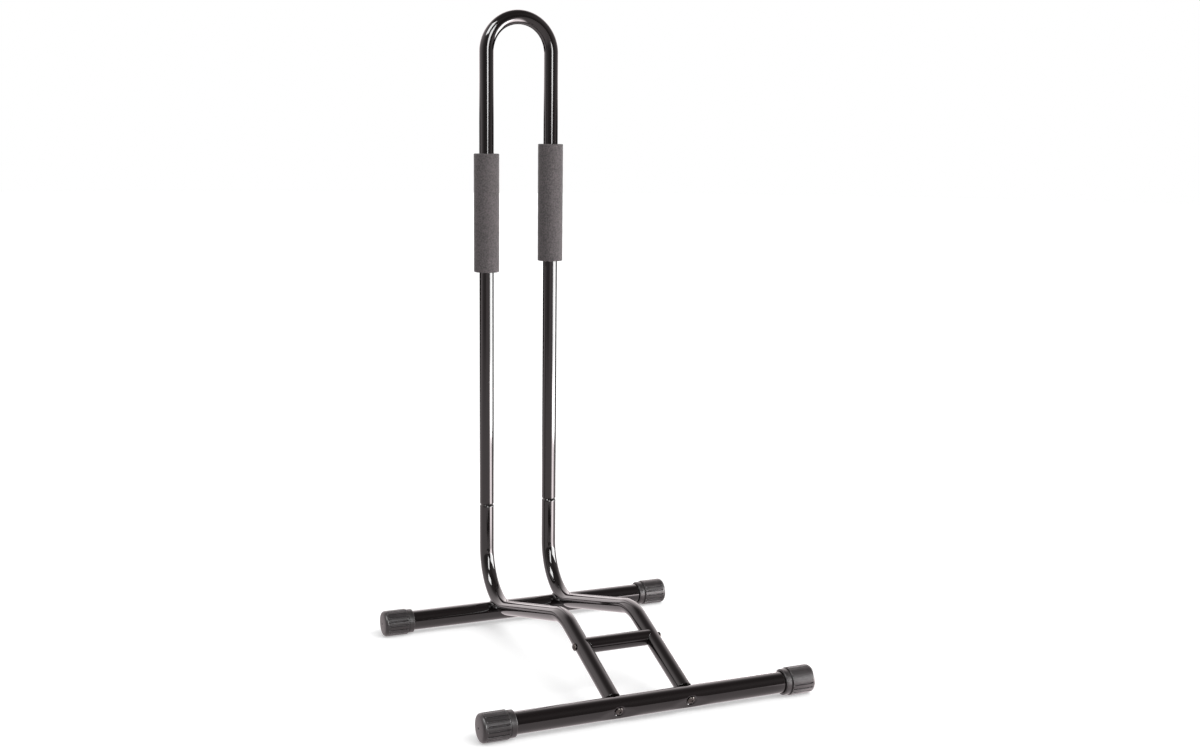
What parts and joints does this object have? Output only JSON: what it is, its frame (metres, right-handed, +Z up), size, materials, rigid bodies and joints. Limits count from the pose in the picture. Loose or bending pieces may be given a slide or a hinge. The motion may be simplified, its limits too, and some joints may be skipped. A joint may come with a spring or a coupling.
{
  "type": "floor bike rack",
  "caption": "Floor-standing bicycle rack: a tall tubular hoop with foam sleeves pushed onto bent lower tubes, on cross feet with ribbed end caps.",
  "frame": {"origin": "on the floor, under the middle of the rack's outline", "axes": "+Z up, +X to the right along the feet, -Y towards the front foot, so that the hoop stands at +Y"},
  "size_m": [0.4206, 0.4594, 0.816],
  "materials": {
    "black_paint": "gloss black powder coat on steel tube",
    "grey_foam": "matt closed-cell foam rubber",
    "cap_plastic": "fine-textured matt dark grey moulding",
    "black_steel": "blackened steel, slightly glossy",
    "plain_steel": "plain zinc-plated steel"
  },
  "bodies": {
    "base": {"lower_tube_left": "black_paint", "lower_tube_right": "black_paint", "rear_foot": "black_paint", "front_foot": "black_paint", "rear_weld_left": "black_paint", "rear_weld_right": "black_paint", "cross_brace": "black_paint", "brace_insert_left": "plain_steel", "brace_insert_right": "plain_steel", "foot_insert_left": "black_steel", "foot_insert_right": "black_steel", "foot_screw_left": "black_steel", "foot_screw_right": "black_steel", "brace_screw_left": "black_steel", "brace_screw_right": "black_steel", "end_cap_front_left": "cap_plastic", "end_cap_front_right": "cap_plastic", "end_cap_rear_left": "cap_plastic", "end_cap_rear_right": "cap_plastic"},
    "hoop": {"upper_hoop": "black_paint", "foam_sleeve_left": "grey_foam", "foam_sleeve_right": "grey_foam"}
  },
  "joints": [
    {"name": "hoop_lift", "type": "slide", "parent": "base", "child": "hoop", "axis": [0, 0, 1], "range_m": [0, 0.045]}
  ]
}
